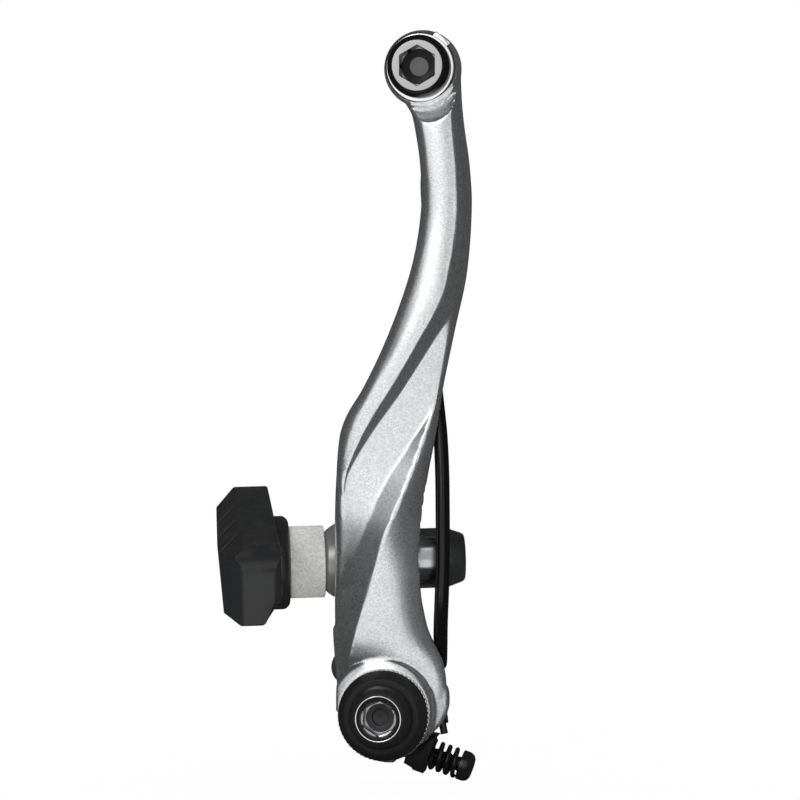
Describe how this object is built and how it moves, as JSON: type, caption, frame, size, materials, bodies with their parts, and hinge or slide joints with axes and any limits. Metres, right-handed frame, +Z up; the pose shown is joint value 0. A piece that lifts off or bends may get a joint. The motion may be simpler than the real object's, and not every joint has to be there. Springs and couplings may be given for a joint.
{
  "type": "linear-pull brake arm",
  "caption": "Linear-pull bicycle brake arm with pivot bushing and bolt, sleeved return spring, tension screw, cable anchor and a shoe on ball and cup washers.",
  "frame": {"origin": "pivot axis at the frame-side face of the bushing", "axes": "+X away from the rim, +Y along the pivot axis towards the frame, +Z up the arm towards the cable bolt"},
  "size_m": [0.0494, 0.0703, 0.1258],
  "materials": {
    "bushing_steel": "satin",
    "dark_steel": "satin",
    "washer_steel": "polished",
    "cap_black": "satin",
    "plate_black": "satin",
    "pin_steel": "satin",
    "nylon_black": "satin",
    "spring_steel": "satin",
    "sleeve_black": "gloss",
    "arm_silver": "metallic satin",
    "washer_chrome": "polished",
    "dome_grey": "satin",
    "cup_grey": "matte",
    "rubber_black": "satin",
    "nut_chrome": "polished"
  },
  "bodies": {
    "mount": {"pivot_bushing": "bushing_steel", "pivot_bolt": "dark_steel", "front_washer": "washer_steel", "pivot_cap": "cap_black", "stopper_plate": "plate_black", "stopper_pin": "pin_steel", "screw_block": "nylon_black"},
    "spring_holder": {"spring_holder": "nylon_black", "return_spring": "spring_steel", "spring_sleeve": "sleeve_black"},
    "screw_spring": {"screw_spring": "spring_steel"},
    "tension_screw": {"tension_screw": "spring_steel"},
    "arm": {"brake_arm": "arm_silver", "cable_bolt": "dark_steel", "cable_washer": "washer_chrome"},
    "shoe_slide": {"inner_dome_washer": "dome_grey", "outer_dome_washer": "dome_grey"},
    "shoe_tilt": {"inner_cup_washer": "cup_grey", "outer_cup_washer": "cup_grey"},
    "shoe": {"brake_shoe": "rubber_black", "shoe_stud": "pin_steel", "flat_washer": "washer_steel", "shoe_nut": "nut_chrome"}
  },
  "joints": [
    {"name": "spring_preload", "type": "hinge", "parent": "mount", "child": "spring_holder", "pos_m": [0, 0, 0], "axis": [0, 1, 0], "range_deg": [-8, 8]},
    {"name": "screw_travel", "type": "slide", "parent": "mount", "child": "screw_spring", "axis": [0.9455, 0, -0.3256], "range_m": [-0.0008, 0.0008], "deforming": ["screw_spring"]},
    {"name": "screw_turn", "type": "hinge", "parent": "screw_spring", "child": "tension_screw", "pos_m": [-0.00186, -0.0031, -0.00539], "axis": [0.9455, 0, -0.3256], "range_deg": [-640, 640]},
    {"name": "arm_swing", "type": "hinge", "parent": "spring_holder", "child": "arm", "pos_m": [0, 0, 0], "axis": [0, -1, 0], "range_deg": [-25, 12], "stiffness_Nm_per_rad": 1, "deforming": ["return_spring", "spring_sleeve"]},
    {"name": "shoe_height", "type": "slide", "parent": "arm", "child": "shoe_slide", "axis": [0, 0, 1], "range_m": [-0.004, 0.004]},
    {"name": "shoe_toe_in", "type": "hinge", "parent": "shoe_slide", "child": "shoe_tilt", "pos_m": [-0.0063, -0.0085, 0.02495], "axis": [0, 0, 1], "range_deg": [-12, 1]},
    {"name": "shoe_pitch", "type": "hinge", "parent": "shoe_tilt", "child": "shoe", "pos_m": [-0.0063, -0.0085, 0.02495], "axis": [0.9778, 0.2078, 0.0262], "range_deg": [-15, 15]}
  ],
  "couplings": [
    {"joint": "screw_travel", "follows": "spring_preload", "m_per_rad": -0.0057},
    {"joint": "screw_turn", "follows": "spring_preload", "ratio": -79.587}
  ]
}
